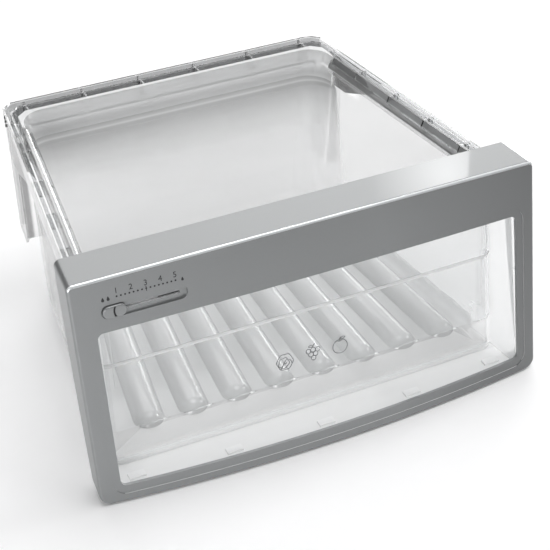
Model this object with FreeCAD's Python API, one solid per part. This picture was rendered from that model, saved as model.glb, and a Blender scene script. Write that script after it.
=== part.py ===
import FreeCAD, Part
import os
from math import atan, cos, degrees, sin, sqrt

os.makedirs("parts", exist_ok=True)
V = FreeCAD.Vector

# Front frame. x to the right, y to the rear, z up; y = 0 is the face's top edge until export.
frameWidth = 400.0
frameHeight = 192.0
frameTopDepth = 38.0
frameMidDepth = 19.0
frameFootRear = -8.0
frameDraw = 0.08
frameWall = 3.0
faceLean = 30.0
faceBow = 13.5
headRound = 5.0
footRound = 9.0
faceRound = 2.5
sideBar = 18.0
windowFoot = 14.5
headBar = 44.0
windowRound = 5.0
bandWidth = 7.0
bandDepth = 0.5
windowWidth = frameWidth - 2 * sideBar
windowHead = frameHeight - headBar
reach = 2 * frameWidth

# Humidity slider, measured along the leaning face from its top edge and its left end.
trackFromEnd = 57.7
trackDrop = 28.2
trackHeight = 11.0
trackClear = 0.7
trackFloor = -0.9
padBack = -3.6
padMargin = 4.0
knobLength = 19.2
knobHeight = 10.0
knobRise = 2.7
knobLift = 0.35
gripLength = 1.4
gripDepth = 0.7
slideTravel = 48.0
stemLength = 8.0
stemHeight = 1.5
slotClear = 0.35
fitClear = 0.05
shutterFront = -4.1
shutterBack = -6.5
shutterLead = 12.0
shutterTrail = 36.0
shutterHeight = 22.0
webFront = -7.0
webThick = 2.0
webLead = 48.0
webTrail = 64.0
webLap = 4.0
railHeight = 2.0
ventCount = 5
ventPitch = 9.0
ventWidth = 4.0
ventHeight = 14.0
trackCentre = trackFromEnd - frameWidth / 2
trackLength = slideTravel + knobLength + 2 * trackClear
knobRest = trackCentre - slideTravel / 2

# Clear bin.
binRear = 315.0
rimSetIn = 12.0
rimSetDown = 13.5
rimTaper = 0.11
rimFront = 16.0
rimDepth = 15.0
rimFloor = 2.0
rimWall = 1.8
rimSideMid = 5.0
rimRearMid = 10.5
rimMidWall = 1.5
rimRearWidth = 23.0
rimCorner = 8.0
ribPitch = 52.0
ribFirst = 70.0
ribCount = 5
rearRibPitch = 55.0
ribThick = 1.6
ribDrop = 1.0
wallInset = 10.5
wall = 2.5
lipWidth = 6.0
lipHeight = 13.0
lipRear = 262.0
rearFoot = 276.0
rearCrease = 284.5
rearStep = 6.0
creaseDrop = 34.5
creaseRise = 7.0
rearRoundFoot = 45.0
rearRoundTop = 22.0
frontFoot = 4.0
frontHead = 26.5
paneLap = 4.0
frontBow = 2.0
frontRound = 10.0
frontJog = 3.0
jogDrop = 56.5
jogRise = 4.0
sideRound = 10.0
rearCove = 36.5
skirtStart = 203.0
skirtFull = 260.0
skirtEnd = 303.0
skirtDrop = 39.0
wingFront = 268.0
wingRear = 313.0
wingInset = 2.0
wingPlate = 2.0
wingFoot = 51.0
wingCut = 12.0
wingReach = 21.0
fluteCount = 8
flutePitch = 40.0
fluteRearPitch = 34.5
fluteShift = 10.5
fluteRearShift = 16.0
fluteWidth = 27.0
fluteHeight = 9.0
fluteFront = 38.0
fluteRear = 242.0
apronClear = 0.6
apronLift = 0.25
padLength = 14.0
padWidth = 7.0
padHeight = 2.0
padPitch = 82.0
padBackFromFace = 17.0
rimHalf = frameWidth / 2 - rimSetIn
rimTop = frameHeight - rimSetDown
creaseHeight = rimTop - creaseDrop
frontTop = windowHead + paneLap
jogHeight = frontTop - jogDrop


def prismZ(points, low, high):
    outline = [V(x, y, low) for x, y in points]
    face = Part.Face(Part.makePolygon(outline + outline[:1]))
    return face.extrude(V(0, 0, high - low))


def prismX(points, left, right):
    outline = [V(left, y, z) for y, z in points]
    face = Part.Face(Part.makePolygon(outline + outline[:1]))
    return face.extrude(V(right - left, 0, 0))


def box(x0, x1, y0, y1, z0, z1):
    return Part.makeBox(x1 - x0, y1 - y0, z1 - z0, V(x0, y0, z0))


def fuseAll(shapes):
    return shapes[0].multiFuse(shapes[1:]).removeSplitter()


def edgesWhere(shape, test):
    return [edge for edge in shape.Edges if test(edge.BoundBox)]


def oblong(centre, length, height, low, high, drop=trackDrop):
    radius = height / 2
    run = length / 2 - radius
    ends = [Part.makeCylinder(radius, high - low, V(centre + side * run, -drop, low)) for side in (-1, 1)]
    middle = box(centre - run, centre + run, -drop - radius, -drop + radius, low, high)
    return fuseAll([middle] + ends)


def onFace(shape):
    turned = shape.copy()
    turned.Placement = FreeCAD.Placement(
        V(0, 0, frameHeight), FreeCAD.Rotation(V(1, 0, 0), 90 - degrees(atan(faceLean / frameHeight)))
    )
    return turned


# Front frame: a ruled shell whose bow grows from nothing at the head to its full depth at the foot.
def frameSection(z, shrink, rear):
    share = 1 - z / frameHeight
    front = shrink - faceLean * share
    half = frameWidth / 2 - shrink
    rearHalf = half - frameDraw * (rear - front)
    left = V(-half, front, z)
    right = V(half, front, z)
    rearRight = V(rearHalf, rear, z)
    rearLeft = V(-rearHalf, rear, z)
    bow = faceBow * share
    if bow > 0.01:
        facing = Part.Arc(left, V(0, front - bow, z), right).toShape()
    else:
        facing = Part.makeLine(left, right)
    return Part.Wire(
        [
            facing,
            Part.makeLine(right, rearRight),
            Part.makeLine(rearRight, rearLeft),
            Part.makeLine(rearLeft, left),
        ]
    )


def frameBlock(low, high, shrink, rear):
    sections = [frameSection(low, shrink, rear), frameSection(high, shrink, rear)]
    return Part.makeLoft(sections, True, True)


def roundedEnds(shape, low, high, lowRound, highRound):
    for level, radius in ((low, lowRound), (high, highRound)):
        flat = [e for e in shape.Edges if abs(e.BoundBox.ZMin - level) + abs(e.BoundBox.ZMax - level) < 0.1]
        ends = [e for e in flat if e.BoundBox.XLength < 20 < e.BoundBox.YLength]
        shape = shape.makeFillet(radius, ends)
    return shape


def windowBlock(margin):
    half = windowWidth / 2 + margin
    low = windowFoot - margin
    high = windowHead + margin
    block = box(-half, half, -reach, reach, low, high)
    corners = edgesWhere(block, lambda b: b.YLength > 100)
    return block.makeFillet(windowRound + margin, corners)


rearReach = 60.0
outer = roundedEnds(frameBlock(0, frameHeight, 0, rearReach), 0, frameHeight, footRound, headRound)
frontEdges = edgesWhere(outer, lambda b: b.YMax < 6 and b.XLength > 0.5 or b.YMax < 6 and b.ZLength > 100)
outer = outer.makeFillet(faceRound, frontEdges)

rearArc = Part.Arc(
    V(0, frameTopDepth, frameHeight), V(0, frameMidDepth, frameHeight / 2), V(0, frameFootRear, 0)
)
rearLines = [
    rearArc.toShape(),
    Part.makeLine(V(0, frameFootRear, 0), V(0, 2 * rearReach, 0)),
    Part.makeLine(V(0, 2 * rearReach, 0), V(0, 2 * rearReach, frameHeight)),
    Part.makeLine(V(0, 2 * rearReach, frameHeight), V(0, frameTopDepth, frameHeight)),
]
behind = Part.Face(Part.Wire(rearLines)).extrude(V(2 * reach, 0, 0))
behind.translate(V(-reach, 0, 0))

hollowRear = rearReach + 20
hollow = roundedEnds(
    frameBlock(frameWall, frameHeight - frameWall, frameWall, hollowRear),
    frameWall,
    frameHeight - frameWall,
    footRound - frameWall,
    headRound - frameWall,
)
sunk = outer.copy()
sunk.translate(V(0, bandDepth, 0))
band = windowBlock(bandWidth).common(box(-reach, reach, -reach, 0, 0, frameHeight)).cut(sunk)
frame = outer.cut(behind).cut(hollow).cut(band).cut(windowBlock(0))

# Slider track, its backing pad and the vent web.
pad = onFace(oblong(trackCentre, trackLength + 2 * padMargin, trackHeight + 2 * padMargin, padBack, 0))
slotLength = slideTravel + stemLength + 2 * slotClear
slotCentre = knobRest + slideTravel / 2
slot = onFace(
    box(
        slotCentre - slotLength / 2,
        slotCentre + slotLength / 2,
        -trackDrop - stemHeight / 2 - slotClear,
        -trackDrop + stemHeight / 2 + slotClear,
        padBack - 1,
        5,
    )
)
track = onFace(oblong(trackCentre, trackLength, trackHeight, trackFloor, 8))

webLeft = trackCentre - webLead
webRight = trackCentre + webTrail
webSheet = box(webLeft, webRight, -headBar + webLap / 2, 10, webFront - webThick, webFront)
railLow = -trackDrop - shutterHeight / 2 - slotClear
railHigh = -trackDrop + shutterHeight / 2 + slotClear
rails = [
    box(webLeft, webRight, railLow - railHeight, railLow, webFront - 0.5, shutterFront),
    box(webLeft, webRight, railHigh, railHigh + railHeight, webFront - 0.5, shutterFront),
]
ventCentre = knobRest + (shutterTrail - shutterLead) / 2
vents = [
    box(
        ventCentre + (step - (ventCount - 1) / 2) * ventPitch - ventWidth / 2,
        ventCentre + (step - (ventCount - 1) / 2) * ventPitch + ventWidth / 2,
        -trackDrop - ventHeight / 2,
        -trackDrop + ventHeight / 2,
        webFront - 2 * webThick,
        webFront + 1,
    )
    for step in range(ventCount)
]
web = fuseAll([webSheet] + rails).cut(Part.makeCompound(vents))
inside = frameBlock(0.5, frameHeight - 0.5, 0.5, frameTopDepth - 1)
web = onFace(web).common(inside)
frame = fuseAll([frame, pad, web]).cut(track).cut(slot)

# Knob with its stem, and the shutter that the stem carries.
knobBody = oblong(knobRest, knobLength, knobHeight, trackFloor + knobLift, knobRise)
knobTop = edgesWhere(knobBody, lambda b: b.ZMin > knobRise - 0.01)
knobBody = knobBody.makeFillet(1.2, knobTop)
gripRadius = knobHeight * 0.9
gripPlace = V(knobRest + gripRadius - gripLength, -trackDrop, knobRise - gripDepth)
grip = Part.makeCylinder(gripRadius, 4, gripPlace)
gripCore = Part.makeCylinder(gripRadius - gripLength, 4, gripPlace)
gripHalf = knobHeight * 0.4
gripEnd = knobRest + gripLength
gripSide = box(knobRest - knobLength, gripEnd, -trackDrop - gripHalf, -trackDrop + gripHalf, -5, 10)
knobBody = knobBody.cut(grip.cut(gripCore).common(gripSide))


def stemBlock(grow, low, high):
    return box(
        knobRest - stemLength / 2 - grow,
        knobRest + stemLength / 2 + grow,
        -trackDrop - stemHeight / 2 - grow,
        -trackDrop + stemHeight / 2 + grow,
        low,
        high,
    )


knob = onFace(fuseAll([knobBody, stemBlock(0, shutterBack, trackFloor + knobLift + 0.2)]))
shutterPlate = box(
    knobRest - shutterLead,
    knobRest + shutterTrail,
    -trackDrop - shutterHeight / 2,
    -trackDrop + shutterHeight / 2,
    shutterBack,
    shutterFront,
)
shutter = onFace(shutterPlate.cut(stemBlock(fitClear, shutterBack - 1, shutterFront + 1)))


# Clear bin: walls that close in to the rear, lofted through sections from floor to rim.
def halfAt(y, inset):
    return rimHalf - rimTaper * (y - frameTopDepth) - inset


def rounded(before, corner, after, radius):
    toward = (before - corner).normalize()
    away = (after - corner).normalize()
    turn = toward.getAngle(away)
    reach = radius / sin(turn / 2) * cos(turn / 2)
    middle = (toward + away).normalize() * (radius / sin(turn / 2) - radius)
    return corner + toward * reach, corner + middle, corner + away * reach


def binSection(z, front, bow, rear, frontRadius, rearRadius, inset):
    corners = [
        V(-halfAt(front, inset), front, z),
        V(halfAt(front, inset), front, z),
        V(halfAt(rear, inset), rear, z),
        V(-halfAt(rear, inset), rear, z),
    ]
    bulge = V(0, front - 2 * bow, z)
    arcs = [
        rounded(corners[3], corners[0], bulge, frontRadius),
        rounded(bulge, corners[1], corners[2], frontRadius),
        rounded(corners[1], corners[2], corners[3], rearRadius),
        rounded(corners[2], corners[3], corners[0], rearRadius),
    ]
    edges = [
        Part.Arc(*arcs[0]).toShape(),
        Part.Arc(arcs[0][2], V(0, front - bow, z), arcs[1][0]).toShape(),
        Part.Arc(*arcs[1]).toShape(),
        Part.makeLine(arcs[1][2], arcs[2][0]),
        Part.Arc(*arcs[2]).toShape(),
        Part.makeLine(arcs[2][2], arcs[3][0]),
        Part.Arc(*arcs[3]).toShape(),
        Part.makeLine(arcs[3][2], arcs[0][0]),
    ]
    return Part.Wire(edges)


def frontAt(z):
    jog = frontJog * min(1, max(0, (z - jogHeight) / jogRise))
    return frontFoot + (frontHead - frontFoot) * z / frontTop - jog


def rearAt(z):
    step = rearStep * min(1, max(0, (z - creaseHeight) / creaseRise))
    return rearFoot + (rearCrease - rearFoot) * min(z, creaseHeight) / creaseHeight + step


def rearRoundAt(z):
    return rearRoundFoot + (rearRoundTop - rearRoundFoot) * z / rimTop


def cornerDraw(z, radius):
    rise = max(0, radius - z)
    return radius - sqrt(radius * radius - rise * rise)


def binLevel(z, grow, base):
    side = cornerDraw(z - base, sideRound - wall + grow)
    rear = cornerDraw(z - base, rearCove - wall + grow)
    return binSection(
        z,
        frontAt(z) - grow + side,
        frontBow * (1 - z / frameHeight),
        rearAt(z) + grow - rear,
        frontRound + grow,
        rearRoundAt(z) + grow,
        wallInset + wall - grow + side,
    )


def binBlock(grow, base, top):
    small = sideRound - wall + grow
    footLevels = [base + small * share for share in (0, 0.04, 0.16, 0.38, 0.68, 1)]
    footLevels += [base + small + (rearCove - small - base) * share for share in (0.3, 0.62, 1)]
    foot = Part.makeLoft([binLevel(z, grow, base) for z in footLevels], True, False)
    levels = [rearCove, jogHeight, jogHeight + jogRise, creaseHeight, creaseHeight + creaseRise, top]
    body = Part.makeLoft([binLevel(z, grow, base) for z in levels], True, True)
    return foot.fuse(body)


shell = binBlock(wall, 0, rimTop)
cavity = binBlock(0, wall, rimTop + 10)


def rimOutline(sideInset, rearInset, front, corner):
    rear = binRear - rearInset
    half = halfAt(rear, sideInset)
    shoulder = halfAt(rear - corner, sideInset)
    return [
        (-halfAt(front, sideInset), front),
        (halfAt(front, sideInset), front),
        (shoulder, rear - corner),
        (half - corner, rear),
        (-half + corner, rear),
        (-shoulder, rear - corner),
    ]


def rimRing(outerSide, outerRear, innerSide, innerRear, low, high, front):
    ring = prismZ(rimOutline(outerSide, outerRear, front, rimCorner), low, high)
    return ring.cut(prismZ(rimOutline(innerSide, innerRear, front - 50, rimCorner), low - 1, high + 1))


channel = rimTop - rimDepth
rim = prismZ(rimOutline(0, 0, rimFront, rimCorner), channel - rimFloor, rimTop)
grooveFront = rimFront + rimWall
sideMidInner = rimSideMid + rimMidWall
rearMidInner = rimRearMid + rimMidWall
grooves = [
    rimRing(rimWall, rimWall, rimSideMid, rimRearMid, channel, rimTop + 1, grooveFront),
    rimRing(sideMidInner, rearMidInner, wallInset, rimRearWidth - wall, channel, rimTop + 1, grooveFront),
]
rim = rim.cut(grooves[0]).cut(grooves[1])

ribs = []
for step in range(ribCount):
    y = ribFirst + step * ribPitch
    for side in (-1, 1):
        near = side * halfAt(y, wallInset + 1)
        far = side * halfAt(y, rimWall / 2)
        ribs.append(
            box(
                min(near, far),
                max(near, far),
                y - ribThick / 2,
                y + ribThick / 2,
                channel - 0.5,
                rimTop - ribDrop,
            )
        )
for step in range(6):
    x = (step - 2.5) * rearRibPitch
    ribs.append(
        box(
            x - ribThick / 2,
            x + ribThick / 2,
            binRear - rimRearWidth + 1,
            binRear - rimWall / 2,
            channel - 0.5,
            rimTop - ribDrop,
        )
    )

skirtProfile = [
    (skirtStart, channel - rimFloor),
    (skirtFull, rimTop - skirtDrop),
    (skirtEnd, rimTop - skirtDrop),
    (skirtEnd, channel),
    (skirtStart, channel),
]
skirtBand = rimRing(0, 0, rimWall, rimWall, rimTop - skirtDrop - 5, channel, rimFront)
skirts = skirtBand.common(prismX(skirtProfile, -reach, reach))

wings = []
wingTop = channel - rimFloor / 2
for side in (-1, 1):
    plate = [
        (side * halfAt(wingFront, wingInset), wingFront),
        (side * halfAt(wingRear, wingInset), wingRear),
        (side * halfAt(wingRear, wingInset + wingPlate), wingRear),
        (side * halfAt(wingFront, wingInset + wingPlate), wingFront),
    ]
    cheek = [
        (side * halfAt(wingFront, wingInset), wingFront),
        (side * halfAt(wingFront, wingInset), wingFront + wingPlate),
        (side * halfAt(wingFront, wingReach), wingFront + wingPlate),
        (side * halfAt(wingFront, wingReach), wingFront),
    ]
    back = [
        (side * halfAt(wingRear, wingInset), wingRear - wingPlate),
        (side * halfAt(wingRear, wingInset), wingRear),
        (side * halfAt(wingRear, wingReach * 0.35), wingRear),
        (side * halfAt(wingRear, wingReach * 0.35), wingRear - wingPlate),
    ]
    wing = fuseAll([prismZ(points, wingFoot, wingTop) for points in (plate, cheek, back)])
    wings.append(wing)
wingTrim = prismX(
    [
        (wingFront - 5, wingFoot - 5),
        (wingRear + 5, wingFoot - 5),
        (wingRear + 5, wingFoot),
        (wingFront + wingCut, wingFoot),
        (wingFront - 5, wingFoot + wingCut + 5),
    ],
    -reach,
    reach,
)
wings = [wing.cut(wingTrim) for wing in wings]

# Apron in front of the bin's front wall, standing on the frame's foot.
frontRoom = frameBlock(frameWall, frameHeight - frameWall, frameWall + apronClear, hollowRear)
apronFore = -2 * (faceLean + faceBow)
apronAft = frontHead + wall


def apronStrip(inset, low, high):
    outline = [
        (-halfAt(apronFore, inset), apronFore),
        (halfAt(apronFore, inset), apronFore),
        (halfAt(apronAft, inset), apronAft),
        (-halfAt(apronAft, inset), apronAft),
    ]
    return prismZ(outline, low, high)


apronFoot = frameWall + apronLift
ledge = apronStrip(wallInset, apronFoot, apronFoot + wall).common(frontRoom)
sides = apronStrip(wallInset, apronFoot, windowHead).cut(apronStrip(wallInset + wall, 0, frontTop))
sides = sides.common(frontRoom)
pads = []
for step in (-2, -1, 0, 1, 2):
    x = step * padPitch
    padFront = -faceLean - faceBow * (1 - (2 * x / frameWidth) ** 2) + padBackFromFace
    pads.append(
        box(
            x - padLength / 2,
            x + padLength / 2,
            padFront,
            padFront + padWidth,
            apronFoot + wall / 2,
            apronFoot + wall + padHeight,
        )
    )

# Rounded lip inside each side wall's top edge.
lips = []
for side in (-1, 1):
    profile = [
        V(side * halfAt(rimFront, wallInset + wall - 1), rimFront, rimTop),
        V(side * halfAt(rimFront, wallInset + wall), rimFront, rimTop),
        V(side * halfAt(rimFront, wallInset + wall + lipWidth * 0.7), rimFront, rimTop - lipHeight * 0.3),
        V(side * halfAt(rimFront, wallInset + wall + lipWidth), rimFront, rimTop - lipHeight),
        V(side * halfAt(rimFront, wallInset + wall - 1), rimFront, rimTop - lipHeight),
    ]
    curve = Part.Arc(profile[1], profile[2], profile[3]).toShape()
    lines = [
        Part.makeLine(profile[0], profile[1]),
        curve,
        Part.makeLine(profile[3], profile[4]),
        Part.makeLine(profile[4], profile[0]),
    ]
    run = lipRear - rimFront
    lips.append(Part.Face(Part.Wire(lines)).extrude(V(-side * rimTaper * run, run, 0)))


# Flutes: hollow corrugations right of the middle that draw together towards the rear.
def fluteBlock(x, rearX, grow):
    radius = (fluteWidth * fluteWidth / 4 + fluteHeight * fluteHeight) / (2 * fluteHeight) - grow
    depth = wall + fluteHeight - grow - radius
    half = fluteWidth / 2
    start = V(x, fluteFront + half, depth)
    end = V(rearX, fluteRear - half, depth)
    along = end - start
    tube = Part.makeCylinder(radius, along.Length, start, along)
    body = fuseAll([tube, Part.makeSphere(radius, start), Part.makeSphere(radius, end)])
    low = wall / 2 if grow == 0 else -1
    return body.common(box(-reach, reach, 0, binRear, low, radius))


humps = []
troughs = []
for step in range(fluteCount):
    place = step - (fluteCount - 1) / 2
    x = place * flutePitch + fluteShift
    rearX = place * fluteRearPitch + fluteRearShift
    humps.append(fluteBlock(x, rearX, 0))
    troughs.append(fluteBlock(x, rearX, wall))

notchHalf = halfAt(0, wallInset + wall)
frontNotch = box(-notchHalf, notchHalf, -reach, frameTopDepth - 4, frontTop, 2 * frameHeight)
bin = fuseAll([shell, rim, skirts, ledge, sides] + ribs + wings + pads)
bin = bin.cut(cavity).cut(frontNotch)
bin = fuseAll([bin] + lips + humps)
for trough in troughs:
    bin = bin.cut(trough)

nodes = {
    "crisper_bin": bin,
    "front_frame": frame,
    "humidity_knob": knob,
    "vent_shutter": shutter,
}
midDepth = (binRear + frame.optimalBoundingBox().YMin) / 2
for name, shape in nodes.items():
    solid = shape.copy()
    solid.translate(V(0, -midDepth, 0))
    if len(solid.Solids) == 1:
        solid = solid.Solids[0]
    print(name, len(shape.Solids), solid.isValid(), round(solid.Volume), solid.BoundBox)
    solid.exportStep("parts/%s.step" % name)
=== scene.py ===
import math

import bmesh
import bpy
from mathutils import Matrix, Vector


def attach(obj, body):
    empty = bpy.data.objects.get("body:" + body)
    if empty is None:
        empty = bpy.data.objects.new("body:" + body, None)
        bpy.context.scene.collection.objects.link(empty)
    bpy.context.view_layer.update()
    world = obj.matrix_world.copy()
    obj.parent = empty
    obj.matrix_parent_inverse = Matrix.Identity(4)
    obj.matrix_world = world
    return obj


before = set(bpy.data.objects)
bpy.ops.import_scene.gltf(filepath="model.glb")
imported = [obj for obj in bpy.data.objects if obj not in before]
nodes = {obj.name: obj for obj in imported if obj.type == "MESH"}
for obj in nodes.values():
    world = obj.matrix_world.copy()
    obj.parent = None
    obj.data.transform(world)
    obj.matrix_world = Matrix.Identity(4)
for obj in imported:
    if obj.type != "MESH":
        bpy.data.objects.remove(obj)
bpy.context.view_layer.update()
print("frame loaded:", ", ".join(sorted(nodes)))


# A shader socket that can be added, subtracted and multiplied, from either side
class Flow:
    def __init__(self, finish, socket):
        self.finish = finish
        self.socket = socket

    def maths(self, operation, a, b):
        return self.finish.node("ShaderNodeMath", {"operation": operation}, {0: a, 1: b})

    def __add__(self, other):
        return self.maths("ADD", self, other)

    def __radd__(self, other):
        return self.maths("ADD", other, self)

    def __sub__(self, other):
        return self.maths("SUBTRACT", self, other)

    def __rsub__(self, other):
        return self.maths("SUBTRACT", other, self)

    def __mul__(self, other):
        return self.maths("MULTIPLY", self, other)

    def __rmul__(self, other):
        return self.maths("MULTIPLY", other, self)


# One material, with the noise, bump and graded values that the finishes share
class Finish:
    def __init__(self, name):
        self.material = bpy.data.materials.new(name)
        self.material.use_nodes = True
        self.tree = self.material.node_tree
        self.shader = self.tree.nodes["Principled BSDF"]
        self.place = self.node("ShaderNodeTexCoord", {}, {}, "Object")

    def node(self, kind, settings, inputs, output=0):
        made = self.tree.nodes.new(kind)
        for key, value in settings.items():
            if key == "stops":
                elements = made.color_ramp.elements
                for position, _ in value[1:-1]:
                    elements.new(position)
                for element, (_, colour) in zip(elements, value):
                    element.color = (*colour, 1)
            else:
                setattr(made, key, value)
        for key, value in inputs.items():
            if isinstance(value, Flow):
                self.tree.links.new(value.socket, made.inputs[key])
            else:
                made.inputs[key].default_value = value
        return Flow(self, made.outputs[output])

    def noise(self, scale, detail=3, stretch=(1, 1, 1)):
        spot = self.node("ShaderNodeMapping", {}, {"Vector": self.place, "Scale": stretch})
        inputs = {"Vector": spot, "Scale": scale, "Detail": detail}
        return self.node("ShaderNodeTexNoise", {}, inputs, "Fac")

    def blendColour(self, share, first, second):
        first, second = [tone if isinstance(tone, Flow) else (*tone, 1) for tone in (first, second)]
        return self.node("ShaderNodeMix", {"data_type": "RGBA"}, {0: share, 6: first, 7: second}, 2)

    def bump(self, height, strength, distance):
        inputs = {"Height": height, "Strength": strength, "Distance": distance}
        return self.node("ShaderNodeBump", {}, inputs)

    def graded(self, axis, *levels):
        low, high = levels[0][0], levels[-1][0]
        reach = self.node("ShaderNodeSeparateXYZ", {}, {"Vector": self.place}, axis)
        share = self.node("ShaderNodeMapRange", {}, {0: reach, 1: low, 2: high})
        stops = [((level - low) / (high - low), (tone, tone, tone)) for level, tone in levels]
        return self.node("ShaderNodeValToRGB", {"stops": stops}, {0: share})

    def set(self, **values):
        for key, value in values.items():
            socket = self.shader.inputs[key.replace("_", " ")]
            if isinstance(value, Flow):
                self.tree.links.new(value.socket, socket)
            else:
                socket.default_value = value


# Clear moulding: polished where light passes straight through, thin and slightly milky elsewhere.
# A zone goes from tint to shade by its tone; in the zones marked so, that shade and a dark tint are
# painted shade.
# Its veil is its alpha, bare lifts the veil in a patch, and glow is painted light standing in for the
# light that the plastic carries to it.
clearLook = {
    "pane": {"tint": 0.985, "shade": 0.965, "rough": 0.012, "ripple": 0.10},
    # Painted shade: the rim darkens below its top face, in its channels
    "rim": {
        "tint": 0.97,
        "shade": 0.72,
        "rough": 0.02,
        "ripple": 0.16,
        "tone": ("Z", (0.1772, 1), (0.1783, 0)),
    },
    # Painted shade: deeper along the rear rim
    "rimRear": {
        "tint": 0.96,
        "shade": 0.40,
        "rough": 0.02,
        "ripple": 0.16,
        "tone": ("Z", (0.1772, 1), (0.1783, 0)),
    },
    "lip": {"tint": 0.97, "shade": 0.94, "rough": 0.03, "ripple": 0.16},
    # Painted shade: the lip's lower part is a dark band above 0.1702, light below
    "lipFoot": {
        "tint": 0.80,
        "shade": 0.14,
        "rough": 0.10,
        "ripple": 0.10,
        "tone": ("Z", (0.1690, 0), (0.1702, 1)),
        "veil": ("Z", (0.1690, 0.27), (0.1702, 0.76)),
    },
    # Painted shade: the skirt plates are a near-black sheet, thinning out at their rear end
    "skirt": {
        "tint": 0.12,
        "shade": 0.10,
        "rough": 0.10,
        "ripple": 0.10,
        "veil": ("Y", (0.138, 0.80), (0.150, 0.12)),
    },
    # Painted shade: the wing is a grey sheet, more opaque towards the left
    "wing": {
        "tint": 0.46,
        "shade": 0.40,
        "rough": 0.08,
        "ripple": 0.10,
        "veil": ("X", (-0.15, 0.46), (0.15, 0.08)),
    },
    # Painted shade: a dark sheet on the wing's front return, opaque only at the left wing
    "wingFace": {
        "tint": 0.22,
        "shade": 0.17,
        "rough": 0.10,
        "ripple": 0.10,
        "veil": ("X", (-0.161, 0.52), (-0.1545, 0.48), (-0.1530, 0.10), (-0.14, 0.05), (0.161, 0.05)),
    },
    "step": {
        "tint": 0.98,
        "shade": 0.95,
        "rough": 0.15,
        "ripple": 0.10,
        "veil": ("X", (-0.17, 0.75), (0.17, 0.75)),
    },
    "ledge": {
        "tint": 0.97,
        "shade": 0.94,
        "rough": 0.10,
        "ripple": 0.10,
        "veil": ("Z", (0.0025, 0.60), (0.0085, 0.55), (0.0120, 0.20), (0.018, 0.06), (0.0365, 0.03)),
        # Painted light: the ledge glows at its front, standing in for light carried through the clear
        # plastic
        "glow": ("Y", (-0.160, 0.11), (-0.1345, 0.11), (-0.1325, 0.0), (-0.100, 0.0)),
    },
    "pad": {
        "tint": 1.0,
        "shade": 0.97,
        "rough": 0.06,
        "ripple": 0.10,
        "veil": ("X", (-0.17, 0.62), (0.17, 0.62)),
        # Painted light: the pads glow faintly, for the same carried light
        "glow": ("X", (-0.17, 0.05), (0.17, 0.07)),
    },
    "cheek": {
        "tint": 0.97,
        "shade": 0.94,
        "rough": 0.06,
        "ripple": 0.10,
        "veil": ("Z", (0.0, 0.30), (0.15, 0.30)),
    },
    "floor": {
        "tint": 0.83,
        "shade": 0.79,
        "rough": 0.08,
        "ripple": 0.06,
        "veil": ("Z", (0.0, 0.50), (0.012, 0.58)),
        "coat": 1.0,
    },
    "walls": {
        "tint": 0.70,
        "shade": 0.48,
        "rough": 0.10,
        "ripple": 0.10,
        # Painted shade: the walls darken towards the left end
        "tone": ("X", (-0.17, 1), (-0.10, 0.1)),
        "veil": ("Z", (0.0, 0.27), (0.17, 0.27)),
        # bare clears the veil at the walls' upper rear, where the skirt's painted shade shows through
        "bare": (("Y", (0.082, 0.0), (0.104, 0.9)), ("Z", (0.1488, 0.0), (0.1530, 1.0))),
    },
    "rear": {
        "tint": 0.97,
        "shade": 0.22,
        "rough": 0.14,
        "ripple": 0.10,
        # Painted shade: the rear wall darkens in bands below the rim, darkest around the jog at 0.145 to
        # 0.151, with a painted light line at 0.1478
        "tone": (
            "Z",
            (0.100, 0.23),
            (0.120, 0.28),
            (0.130, 0.35),
            (0.138, 0.40),
            (0.1435, 0.46),
            (0.1450, 0.64),
            (0.1466, 0.62),
            (0.1478, 0.36),
            (0.1490, 0.54),
            (0.1508, 0.67),
            (0.1514, 0.24),
            (0.156, 0.36),
            (0.160, 0.24),
            (0.1635, 0.0),
            (0.178, 0.0),
        ),
        "veil": (
            "Z",
            (0.06, 0.34),
            (0.10, 0.40),
            (0.13, 0.60),
            (0.1435, 0.76),
            (0.1450, 0.95),
            (0.1510, 0.95),
            (0.155, 0.86),
            (0.160, 0.80),
            (0.1635, 0.64),
            (0.178, 0.64),
        ),
    },
}
# Shared by all zones: noises as scale, detail and stretch, and pairs as least and added share
clearGrain = {
    "index": 1.5,
    "cloud": (9, 2),
    "fine": (420, 2),
    "wave": (26, 1, (1, 1, 0.5)),
    "tintCast": (0.994, 1, 1.002),
    "shadeCast": (0.990, 1, 1.004),
    "toneCloud": (0.9, 0.2),
    "roughFine": (0.75, 0.5),
    "veilCloud": (0.96, 0.08),
    "waveHeight": 0.0004,
}


def clearFinish(zone):
    look = clearLook[zone]
    made = Finish("clearMoulding" + zone[0].upper() + zone[1:])
    cloud, fine, wave = [made.noise(*clearGrain[key]) for key in ("cloud", "fine", "wave")]
    # thin is the tint end and thick the shade end of the zone's colour; in the zones marked so, the shade
    # end is painted shade
    thin = tuple(look["tint"] * cast for cast in clearGrain["tintCast"])
    thick = tuple(look["shade"] * cast for cast in clearGrain["shadeCast"])

    def stirred(key, noise):
        least, more = clearGrain[key]
        return least + more * noise

    share = cloud
    if "tone" in look:
        share = made.graded(*look["tone"]) * stirred("toneCloud", cloud)
    made.set(
        Base_Color=made.blendColour(share, thin, thick),
        Roughness=look["rough"] * stirred("roughFine", fine),
        Normal=made.bump(wave, look["ripple"], clearGrain["waveHeight"]),
        IOR=clearGrain["index"],
        Coat_Weight=look.get("coat", 0.0),
        Coat_Roughness=look["rough"],
    )
    if "glow" in look:
        made.set(Emission_Color=made.graded(*look["glow"]), Emission_Strength=1.0)
    if "veil" in look:
        veil = made.graded(*look["veil"]) * stirred("veilCloud", cloud)
        if "bare" in look:
            across, upward = [made.graded(*levels) for levels in look["bare"]]
            veil = veil * (1 - across * upward)
        made.set(Alpha=veil)
    else:
        made.set(Transmission_Weight=1.0)
    return made.material


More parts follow.
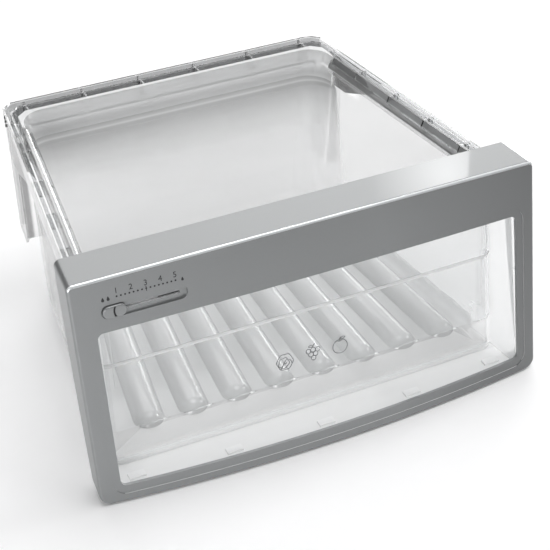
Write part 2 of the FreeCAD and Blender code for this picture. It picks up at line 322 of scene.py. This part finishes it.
# Satin silver paint: fine flake in the colour, soft orange peel, a thin clear coat
paintLook = {
    "base": (0.225, 0.233, 0.236),
    "flake": (0.275, 0.283, 0.286),
    "metal": 0.6,
    "rough": 0.36,
    "coat": 0.9,
    "coatRough": 0.04,
    "flakeGrain": (2600, 2),
    "cloudGrain": (7, 3),
    "peelGrain": (340, 2),
    "cloudRough": 0.07,
    "flakeRough": 0.06,
    "peel": (0.08, 0.0003),
    # dim: the share of the base left where the painted shade is darkest
    "dim": 0.5,
}


def paintFinish(name, lift=1.0, coat=paintLook["coat"], paintedShade=None):
    made = Finish(name)
    flake, cloud, peel = [made.noise(*paintLook[key + "Grain"]) for key in ("flake", "cloud", "peel")]
    base = tuple(min(1, c * lift) for c in paintLook["base"])
    shine = tuple(min(1, c * lift) for c in paintLook["flake"])
    tone = made.blendColour(flake, base, shine)
    # Painted shade: the base darkens along a graded axis, down to dim times the base
    if paintedShade:
        dim = tuple(c * paintLook["dim"] for c in base)
        tone = made.blendColour(made.graded(*paintedShade), tone, dim)
    unevenness = paintLook["cloudRough"] * (cloud - 0.5) + paintLook["flakeRough"] * (flake - 0.5)
    made.set(
        Base_Color=tone,
        Roughness=paintLook["rough"] + unevenness,
        Metallic=paintLook["metal"],
        Normal=made.bump(peel, *paintLook["peel"]),
        Coat_Weight=coat,
        Coat_Roughness=paintLook["coatRough"],
    )
    return made.material


# Plain moulded plastic and printing ink: two close tones and a fine grain
mouldedLook = {"cloud": (40, 3), "grain": (1500, 2), "grainRough": 0.1, "grainBump": (0.1, 0.0002)}


def mouldedFinish(name, first, second, rough):
    made = Finish(name)
    cloud = made.noise(*mouldedLook["cloud"])
    grain = made.noise(*mouldedLook["grain"])
    made.set(
        Base_Color=made.blendColour(cloud, first, second),
        Roughness=rough + mouldedLook["grainRough"] * (grain - 0.5),
        Normal=made.bump(grain, *mouldedLook["grainBump"]),
    )
    return made.material


clearZones = list(clearLook)
clearPlastics = [clearFinish(zone) for zone in clearZones]
silverPaint = paintFinish("satinSilver")
# Painted light: the sides take a copy of the paint 10% lighter, with little coat, toned for how light
# falls on them
sidePaint = paintFinish("satinSilverSides", 1.1, 0.1)
# Painted shade: a darker copy of the paint, with little coat, for the narrow edge faces around the window
bandShadePaint = paintFinish("satinSilverBandShade", 0.4, 0.1)
# Painted highlight: a copy of the paint 3.2 times lighter, for the rounded top front edge
edgeHighlightPaint = paintFinish("satinSilverEdgeHighlight", 3.2)
# The face's paint carries painted shade, darkening towards its right end
faceShadedPaint = paintFinish("satinSilverFaceShaded", 1.04, paintedShade=("X", (-0.2, 0.0), (0.06, 0.04), (0.2, 0.8)))
knobPaint = paintFinish("knobSilver", 1.05)
innerPlastic = mouldedFinish("bareFrameInside", (0.72, 0.725, 0.73), (0.77, 0.775, 0.78), 0.42)
shutterPlastic = mouldedFinish("shutterGrey", (0.56, 0.56, 0.57), (0.62, 0.62, 0.63), 0.5)
inkDark = mouldedFinish("darkInk", (0.012, 0.012, 0.014), (0.03, 0.03, 0.033), 0.55)
inkGrey = mouldedFinish("greyInk", (0.10, 0.103, 0.106), (0.15, 0.153, 0.156), 0.5)

looks = {
    "crisper_bin": clearPlastics,
    "front_frame": [silverPaint, innerPlastic, sidePaint, bandShadePaint, edgeHighlightPaint, faceShadedPaint],
    "humidity_knob": [knobPaint, inkDark],
    "vent_shutter": [shutterPlastic],
}
for name, materials in looks.items():
    nodes[name].data.materials.clear()
    for material in materials:
        nodes[name].data.materials.append(material)


# The shared frame's origin, along Y in the part's own drawing
planShift = 0.136065

# Where each zone lies, in that drawing
binPlan = {
    "rimHalf": 0.188,
    "taper": 0.11,
    "taperFrom": 0.038,
    "rear": 0.315,
    "grooveIn": 0.0104,
    "rearGrooveIn": 0.0206,
    "plate": 0.0025,
    "lipFoot": 0.1745,
    "rimFoot": 0.160,
    "skirtFoot": 0.138,
    "skirtEnd": 0.304,
    "wing": (0.262, 0.0055, 0.300),
    "wingFaceRear": 0.043,
    "wingFaceNormal": 0.95,
    "paneEnd": -0.100,
    "ledgeTop": 0.0367,
    "cheekNormal": 0.9,
    "padTop": 0.00775,
    "padSlack": 0.0002,
    "padNormal": 0.9,
    "step": (0.0950, 0.1000),
    "floorTop": 0.016,
    "rearFrom": 0.240,
}


def clearZone(face, heights):
    x, y, z = face.center
    along = y + planShift
    side = binPlan["rimHalf"] - binPlan["taper"] * (along - binPlan["taperFrom"]) - abs(x)
    rear = binPlan["rear"] - along
    if z > binPlan["rimFoot"]:
        if side < binPlan["grooveIn"] or rear < binPlan["rearGrooveIn"]:
            return "rimRear" if rear < binPlan["rearGrooveIn"] else "rim"
        if along > binPlan["wing"][0]:
            return "rear"
        return "lip" if z > binPlan["lipFoot"] else "lipFoot"
    if z > binPlan["skirtFoot"] and side < binPlan["plate"] and along < binPlan["skirtEnd"]:
        return "skirt"
    if y < binPlan["paneEnd"]:
        if abs(face.normal.x) > binPlan["cheekNormal"]:
            return "cheek"
        if abs(z - binPlan["padTop"]) < binPlan["padSlack"] and face.normal.z > binPlan["padNormal"]:
            return "pad"
        if max(heights) < binPlan["ledgeTop"]:
            return "ledge"
        inStep = binPlan["step"][0] < min(heights) and max(heights) < binPlan["step"][1]
        return "step" if inStep else "pane"
    if z < binPlan["floorTop"]:
        return "floor"
    wingStart, wingIn, wingBack = binPlan["wing"]
    acrossWing = abs(face.normal.y) > binPlan["wingFaceNormal"] and rear > binPlan["wingFaceRear"]
    if along > wingStart and acrossWing:
        return "wingFace"
    if along > wingBack or along > wingStart and side < wingIn:
        return "wing"
    return "rear" if along > binPlan["rearFrom"] else "walls"


binMesh = nodes["crisper_bin"].data
for face in binMesh.polygons:
    heights = [binMesh.vertices[corner].co.z for corner in face.vertices]
    face.material_index = clearZones.index(clearZone(face, heights))


# Outer faces of the front frame and of the bin's front wall
facePlan = {"height": 0.192, "half": 0.2, "lean": 0.030, "bow": 0.0135}
faceTilt = math.atan(facePlan["lean"] / facePlan["height"])
wallPlan = {"foot": 0.0015, "head": 0.024, "top": 0.152, "bow": 0.002, "half": 0.181}

sliderPlan = {
    "drop": 0.0282,
    "slot": (-0.1715, -0.1170, 0.0013),
    "slotDepth": (-0.0038, -0.00095),
    "knob": -0.1663,
    "gripCentre": -0.1587,
    "grip": (0.0075, 0.0091),
    "gripHalf": 0.0041,
    "gripDepth": (0.0019, 0.00265),
    "gripPast": 0.002,
}


# A point across the face, up from the middle of the track, and out of the face
def onFaceOf(spot):
    y = spot.y + planShift
    z = spot.z - facePlan["height"]
    up = y * math.sin(faceTilt) + z * math.cos(faceTilt)
    out = z * math.sin(faceTilt) - y * math.cos(faceTilt)
    return spot.x, up + sliderPlan["drop"], out


# The frame is painted outside only; its back, the insides of its returns and the slot stay bare
paintPlan = {
    "backNormal": 0.3,
    "inNormal": 0.5,
    "headInside": 0.185,
    "footInside": 0.008,
    "sideInside": 0.186,
    "side": (0.8, 0.185),
    "edge": (0.25, 0.188),
    "faceNormal": 0.8,
    "band": (0.189, 0.0075, 0.155),
    "bandSide": 0.0008,
    "bandEnds": 0.0012,
    "bandNormal": 0.6,
    "bandArea": 0.0004,
}


def bareInside(face):
    spot, facing = face.center, face.normal
    x, up, out = onFaceOf(spot)
    left, right, half = sliderPlan["slot"]
    low, high = sliderPlan["slotDepth"]
    inSlot = left < x < right and abs(up) < half and low < out < high
    steep = paintPlan["inNormal"]
    back = facing.y > paintPlan["backNormal"]
    underHead = facing.z < -steep and spot.z > paintPlan["headInside"]
    overFoot = facing.z > steep and spot.z < paintPlan["footInside"]
    inward = facing.x * spot.x < 0 and abs(facing.x) > steep
    inSide = inward and abs(spot.x) > paintPlan["sideInside"]
    return inSlot or back or underHead or overFoot or inSide


# Narrow edge faces around the window, which take the painted shade of the band paint
def inBand(face):
    spot, slack = face.center, paintPlan["bandEnds"]
    half, low, high = paintPlan["band"]
    nearSide = abs(abs(spot.x) - half) < paintPlan["bandSide"] and low < spot.z < high
    nearEnds = min(abs(spot.z - low), abs(spot.z - high)) < slack and abs(spot.x) < half
    outside = onFaceOf(spot)[2] > -paintPlan["bandSide"]
    small = abs(face.normal.y) < paintPlan["bandNormal"] and face.area < paintPlan["bandArea"]
    return small and outside and (nearSide or nearEnds)


for face in nodes["front_frame"].data.polygons:
    spot, facing = face.center, face.normal
    onBand = inBand(face)
    onSide = abs(facing.x) > paintPlan["side"][0] and abs(spot.x) > paintPlan["side"][1]
    tilted = facing.y < -paintPlan["edge"][0] and facing.z > paintPlan["edge"][0]
    onEdge = tilted and spot.z > paintPlan["edge"][1]
    onFace = facing.y < -paintPlan["faceNormal"]
    # Bare inside faces, then the band's painted shade, the sides' copy toned for their light, the edge's
    # painted highlight, the face's painted shade, and plain paint elsewhere
    coats = ((bareInside(face), 1), (onBand, 3), (onSide, 2), (onEdge, 4), (onFace, 5), (True, 0))
    face.material_index = next(slot for test, slot in coats if test)


def inGrip(face):
    x, up, out = onFaceOf(face.center)
    radius = math.hypot(x - sliderPlan["gripCentre"], up)
    nearest, farthest = sliderPlan["grip"]
    near = nearest < radius < farthest and x < sliderPlan["knob"] + sliderPlan["gripPast"]
    deep = sliderPlan["gripDepth"][0] < out < sliderPlan["gripDepth"][1]
    return near and deep and abs(up) < sliderPlan["gripHalf"]


for face in nodes["humidity_knob"].data.polygons:
    face.material_index = 1 if inGrip(face) else 0
print("finishes made:", len(bpy.data.materials))


# Points on those two faces, for what is printed on them
def arcReach(x, bow, half):
    radius = (half * half + bow * bow) / (2 * bow)
    return math.sqrt(radius * radius - x * x) - (radius - bow)


def onFrame(x, z, lift=0.0):
    share = 1 - z / facePlan["height"]
    y = -share * (facePlan["lean"] + arcReach(x, facePlan["bow"], facePlan["half"]))
    return Vector((x, y - planShift - lift, z))


def onWall(x, z, lift=0.0):
    y = wallPlan["foot"] + (wallPlan["head"] - wallPlan["foot"]) * z / wallPlan["top"]
    bow = wallPlan["bow"] * (1 - z / facePlan["height"])
    return Vector((x, y - arcReach(x, bow, wallPlan["half"]) - planShift - lift, z))


def newObject(name, data):
    made = bpy.data.objects.new(name, data)
    bpy.context.scene.collection.objects.link(made)
    return made


def plainMesh(source):
    graph = bpy.context.evaluated_depsgraph_get()
    return bpy.data.meshes.new_from_object(source.evaluated_get(graph))


def filledMesh(name, shape):
    mesh = bpy.data.meshes.new(name)
    shape.to_mesh(mesh)
    shape.free()
    return mesh


def newTree(name, sizes):
    tree = bpy.data.node_groups.new(name, "GeometryNodeTree")
    tree.interface.new_socket("Geometry", in_out="INPUT", socket_type="NodeSocketGeometry")
    for key, kind in sizes.items():
        tree.interface.new_socket(key, in_out="INPUT", socket_type=kind)
    tree.interface.new_socket("Geometry", in_out="OUTPUT", socket_type="NodeSocketGeometry")
    return tree


def treeNode(tree, kind, settings, inputs):
    made = tree.nodes.new(kind)
    for key, value in settings.items():
        setattr(made, key, value)
    for key, value in inputs.items():
        if isinstance(value, bpy.types.NodeSocket):
            tree.links.new(value, made.inputs[key])
        else:
            made.inputs[key].default_value = value
    return made


def closeTree(tree, shape, ink):
    solid = treeNode(tree, "GeometryNodeRealizeInstances", {}, {"Geometry": shape.outputs[0]})
    inked = treeNode(tree, "GeometryNodeSetMaterial", {}, {"Geometry": solid.outputs[0], "Material": ink})
    end = tree.nodes.new("NodeGroupOutput")
    tree.links.new(inked.outputs[0], end.inputs[0])
    return tree


def grown(made, tree, sizes):
    modifier = made.modifiers.new(tree.name, "NODES")
    modifier.node_group = tree
    sockets = {i.name: i.identifier for i in tree.interface.items_tree if i.item_type == "SOCKET"}
    for key, value in sizes.items():
        modifier[sockets[key]] = value
    mesh = plainMesh(made)
    made.modifiers.clear()
    made.data = mesh
    return made


# Dots of the humidity scale, in a row above the track
scaleLook = {
    "dots": 15,
    "left": (-0.1630, 0.1751),
    "right": (-0.1165, 0.1751),
    "radius": 0.00075,
    "corners": 20,
    "thick": 0.00016,
    "tick": (0.0006, 0.0040),
    "sunk": 0.00005,
}
scaleLift = scaleLook["thick"] / 2 - scaleLook["sunk"]


def scaleDots():
    tree = newTree(
        "dotRow",
        {
            "Count": "NodeSocketInt",
            "Start": "NodeSocketVector",
            "Step": "NodeSocketVector",
            "Turn": "NodeSocketVector",
            "Radius": "NodeSocketFloat",
            "Thickness": "NodeSocketFloat",
            "Ink": "NodeSocketMaterial",
        },
    )
    given = tree.nodes.new("NodeGroupInput").outputs
    row = treeNode(
        tree,
        "GeometryNodeMeshLine",
        {},
        {"Count": given["Count"], "Start Location": given["Start"], "Offset": given["Step"]},
    )
    dot = treeNode(
        tree,
        "GeometryNodeMeshCylinder",
        {},
        {"Vertices": scaleLook["corners"], "Radius": given["Radius"], "Depth": given["Thickness"]},
    )
    spread = treeNode(
        tree,
        "GeometryNodeInstanceOnPoints",
        {},
        {"Points": row.outputs["Mesh"], "Instance": dot.outputs["Mesh"], "Rotation": given["Turn"]},
    )
    closeTree(tree, spread, given["Ink"])
    start = onFrame(*scaleLook["left"], scaleLift)
    finish = onFrame(*scaleLook["right"], scaleLift)
    return grown(
        newObject("scaleDots", bpy.data.meshes.new("scaleDots")),
        tree,
        {
            "Count": scaleLook["dots"],
            "Start": start,
            "Step": (finish - start) / (scaleLook["dots"] - 1),
            "Turn": (math.pi / 2 - faceTilt, 0, 0),
            "Radius": scaleLook["radius"],
            "Thickness": scaleLook["thick"],
            "Ink": inkDark,
        },
    )


# Flat printed shapes: closed outlines laid on the frame's face and given the ink's thickness
def printed(name, outlines):
    thick, sunk = scaleLook["thick"], scaleLook["sunk"]
    shape = bmesh.new()
    for outline in outlines:
        back = [shape.verts.new(onFrame(x, z, -sunk)) for x, z in outline]
        front = [shape.verts.new(onFrame(x, z, thick - sunk)) for x, z in outline]
        count = len(outline)
        shape.faces.new(front)
        shape.faces.new(back[::-1])
        for step in range(count):
            after = (step + 1) % count
            shape.faces.new((front[step], back[step], back[after], front[after]))
    bmesh.ops.recalc_face_normals(shape, faces=shape.faces)
    mesh = filledMesh(name, shape)
    mesh.materials.append(inkDark)
    return newObject(name, mesh)


# Numbers over the row, and drops at its wet and dry ends
markLook = {
    "labels": ("1", "2", "3", "4", "5"),
    "height": 0.1796,
    "size": 0.0064,
    "drops": ((-0.1739, 0.1751, 0.00165), (-0.1697, 0.1751, 0.00165), (-0.1110, 0.1750, 0.00135)),
    "dropSteps": 28,
    "dropTaper": 1.4,
    "dropStretch": 1.15,
    "weld": 0.000001,
}


def scaleNumbers():
    shape = bmesh.new()
    first, last = scaleLook["left"][0], scaleLook["right"][0]
    for step, label in enumerate(markLook["labels"]):
        text = bpy.data.curves.new("number" + label, "FONT")
        text.body = label
        text.align_x = "CENTER"
        text.align_y = "CENTER"
        text.size = markLook["size"]
        text.extrude = scaleLook["thick"] / 2
        holder = newObject("number" + label, text)
        flat = plainMesh(holder)
        bpy.data.objects.remove(holder)
        x = first + (last - first) * step / (len(markLook["labels"]) - 1)
        for point in flat.vertices:
            point.co = onFrame(x + point.co.x, markLook["height"] + point.co.y, scaleLift + point.co.z)
        shape.from_mesh(flat)
        bpy.data.meshes.remove(flat)
    bmesh.ops.remove_doubles(shape, verts=shape.verts, dist=markLook["weld"])
    mesh = filledMesh("scaleNumbers", shape)
    mesh.materials.append(inkDark)
    return newObject("scaleNumbers", mesh)


def dropOutline(x, z, radius):
    outline = []
    for step in range(markLook["dropSteps"]):
        t = 2 * math.pi * step / markLook["dropSteps"]
        width = radius * math.sin(t) * math.sin(t / 2) ** markLook["dropTaper"]
        outline.append((x + width, z + markLook["dropStretch"] * radius * math.cos(t)))
    return outline


middle = [(a + b) / 2 for a, b in zip(scaleLook["left"], scaleLook["right"])]
tickHalf, tickRise = scaleLook["tick"][0] / 2, scaleLook["tick"][1] / 2
tickOutline = [
    (middle[0] - tickHalf, middle[1] - tickRise),
    (middle[0] + tickHalf, middle[1] - tickRise),
    (middle[0] + tickHalf, middle[1] + tickRise),
    (middle[0] - tickHalf, middle[1] + tickRise),
]
dropOutlines = [dropOutline(*drop) for drop in markLook["drops"]]
scalePieces = [
    scaleDots(),
    scaleNumbers(),
    printed("scaleTick", [tickOutline]),
    printed("scaleDrops", dropOutlines),
]
for piece in scalePieces:
    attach(piece, "drawer")
print("scale printed:", len(scalePieces), "pieces")

# Produce outlines on the bin's front wall: a leafy head, a bunch of berries and a round fruit,
# drawn in units of half their size
produceLook = {
    "leafyHead": (-0.0223, 0.0554),
    "berryBunch": (0.0034, 0.0568),
    "roundFruit": (0.0284, 0.0555),
    "half": 0.0078,
    "line": 0.00028,
    "corners": 8,
}


def ring(x, z, radius, lobes=0, depth=0.0, turn=0.0, steps=44):
    line = []
    for step in range(steps):
        angle = 2 * math.pi * step / steps
        reach = radius * (1 + depth * math.cos(lobes * angle + turn))
        line.append((x + reach * math.cos(angle), z + reach * math.sin(angle)))
    return line, True


def bend(a, b, c, steps=10):
    line = []
    for step in range(steps + 1):
        t = step / steps
        shares = ((1 - t) ** 2, 2 * t * (1 - t), t * t)
        line.append([sum(share * point[i] for share, point in zip(shares, (a, b, c))) for i in range(2)])
    return line, False


produceLines = {
    "leafyHead": [
        ring(0, 0, 0.93, 6, 0.05, 0.4),
        ring(-0.14, -0.1, 0.6, 5, 0.08, 0.9),
        bend((-0.5, -0.78), (-0.2, -0.2), (0.2, 0.3)),
        bend((-0.22, -0.2), (0.05, -0.25), (0.22, -0.12)),
        bend((0.42, 0.2), (0.75, 0.1), (0.78, -0.35)),
    ],
    "berryBunch": [
        ring(-0.52, 0.2, 0.27),
        ring(0.03, 0.27, 0.27),
        ring(0.58, 0.2, 0.27),
        ring(-0.25, -0.25, 0.27),
        ring(0.3, -0.25, 0.27),
        ring(0.03, -0.71, 0.27),
        bend((0.03, 0.54), (0.06, 0.8), (0.26, 0.97)),
        bend((0.1, 0.72), (-0.25, 1.0), (-0.48, 0.72)),
        bend((-0.48, 0.72), (-0.15, 0.5), (0.1, 0.72)),
    ],
    "roundFruit": [
        ring(0, -0.12, 0.84, 2, 0.03, 0.0),
        bend((-0.3, 0.58), (0, 0.4), (0.3, 0.58)),
        bend((0.0, 0.5), (-0.02, 0.8), (0.14, 1.0)),
        bend((0.04, 0.72), (0.3, 1.1), (0.68, 0.86)),
        bend((0.68, 0.86), (0.36, 0.6), (0.04, 0.72)),
    ],
}


def outlineTree():
    tree = newTree("printedLine", {"Line": "NodeSocketFloat", "Ink": "NodeSocketMaterial"})
    given = tree.nodes.new("NodeGroupInput").outputs
    path = treeNode(tree, "GeometryNodeMeshToCurve", {}, {"Mesh": given["Geometry"]})
    profile = treeNode(
        tree,
        "GeometryNodeCurvePrimitiveCircle",
        {"mode": "RADIUS"},
        {"Resolution": produceLook["corners"], "Radius": given["Line"]},
    )
    swept = treeNode(
        tree,
        "GeometryNodeCurveToMesh",
        {},
        {"Curve": path.outputs[0], "Profile Curve": profile.outputs[0], "Fill Caps": True},
    )
    return closeTree(tree, swept, given["Ink"])


def produceOutline(name, tree):
    x, z = produceLook[name]
    half = produceLook["half"]
    points, edges = [], []
    for line, closed in produceLines[name]:
        start = len(points)
        points += [onWall(x + half * u, z + half * w) for u, w in line]
        edges += [(start + step, start + step + 1) for step in range(len(line) - 1)]
        if closed:
            edges.append((start + len(line) - 1, start))
    mesh = bpy.data.meshes.new(name)
    mesh.from_pydata(points, edges, [])
    return grown(newObject(name, mesh), tree, {"Line": produceLook["line"], "Ink": inkGrey})


lineTree = outlineTree()
for name in produceLines:
    piece = produceOutline(name, lineTree)
    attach(piece, "drawer")
print("produce outlines printed")

# Floor, light and camera
stageLook = {
    "size": 12.0,
    "cells": 8,
    "tone": ((0.95, 0.95, 0.955), (0.98, 0.98, 0.985)),
    "rough": 0.6,
    "sky": ((0.05, 0.12), (0.75, 1.0)),
    "skyPower": 0.5,
    "drop": 0.0006,
}


def floorPiece():
    shape = bmesh.new()
    cells = stageLook["cells"]
    bmesh.ops.create_grid(shape, x_segments=cells, y_segments=cells, size=stageLook["size"] / 2)
    bmesh.ops.translate(shape, verts=shape.verts, vec=(0, 0, -stageLook["drop"]))
    mesh = filledMesh("floor", shape)
    made = newObject("floor", mesh)
    mesh.materials.append(mouldedFinish("paleFloor", *stageLook["tone"], stageLook["rough"]))


# Each light's place, aim, size and power, and the spread of the one that lights the top face's highlight
lightPlan = {
    "overhead": ((0.25, 0.0, 2.0), (0.1, 0.0, 0.0), (1.7, 1.2), 17),
    "rearWide": ((0.55, 1.7, 1.45), (0.0, -0.1, 0.15), (2.4, 1.0), 11),
    "rearEdge": ((0.681, 1.336, 1.1), (-0.185, -0.040, 0.116), (0.7, 0.5), 0.005, 6),
    "lowBox": ((1.7, 2.0, 0.4), (0.0, 0.0, 0.05), (2.0, 0.75), 30),
    "rightBox": ((1.7, 0.1, 1.25), (0.0, 0.0, 0.1), (0.6, 0.5), 10),
    "frontFill": ((-0.95, -1.1, 0.42), (-0.24, -0.15, 0.08), (0.7, 0.45), 7),
}


def softLight(name, place, aim, size, power, spread=180):
    lamp = bpy.data.lights.new(name, "AREA")
    lamp.shape = "RECTANGLE"
    lamp.size, lamp.size_y = size
    lamp.energy = power
    lamp.spread = math.radians(spread)
    made = newObject(name, lamp)
    away = Vector(place) - Vector(aim)
    made.visible_camera = False
    made.matrix_world = Matrix.Translation(place) @ away.to_track_quat("Z", "Y").to_matrix().to_4x4()


floorPiece()
for name, plan in lightPlan.items():
    softLight(name, *plan)
bpy.context.scene.view_settings.view_transform = "Standard"


def studioSky():
    world = bpy.data.worlds.new("studio")
    world.use_nodes = True
    tree = world.node_tree
    place = tree.nodes.new("ShaderNodeTexCoord")
    split = tree.nodes.new("ShaderNodeSeparateXYZ")
    ramp = tree.nodes.new("ShaderNodeValToRGB")
    for element, (height, tone) in zip(ramp.color_ramp.elements, stageLook["sky"]):
        element.position = height
        element.color = (tone, tone, tone, 1)
    tree.links.new(place.outputs["Generated"], split.inputs[0])
    tree.links.new(split.outputs["Z"], ramp.inputs[0])
    tree.links.new(ramp.outputs[0], tree.nodes["Background"].inputs["Color"])
    tree.nodes["Background"].inputs["Strength"].default_value = stageLook["skyPower"]
    bpy.context.scene.world = world


studioSky()

cameraPlan = {
    "place": (-0.4156, -0.8469 - planShift, 0.8073),
    "right": (0.90616, -0.42257, -0.01756),
    "up": (0.25673, 0.5166, 0.81683),
    "lens": 95.86,
    "sensor": 36,
}
right = Vector(cameraPlan["right"]).normalized()
back = right.cross(Vector(cameraPlan["up"])).normalized()
up = back.cross(right)
lens = bpy.data.cameras.new("photoView")
lens.sensor_width = cameraPlan["sensor"]
lens.lens = cameraPlan["lens"]
camera = newObject("photoView", lens)
turn = Matrix((right, up, back)).transposed().to_4x4()
camera.matrix_world = Matrix.Translation(cameraPlan["place"]) @ turn
bpy.context.scene.camera = camera
print("stage set")
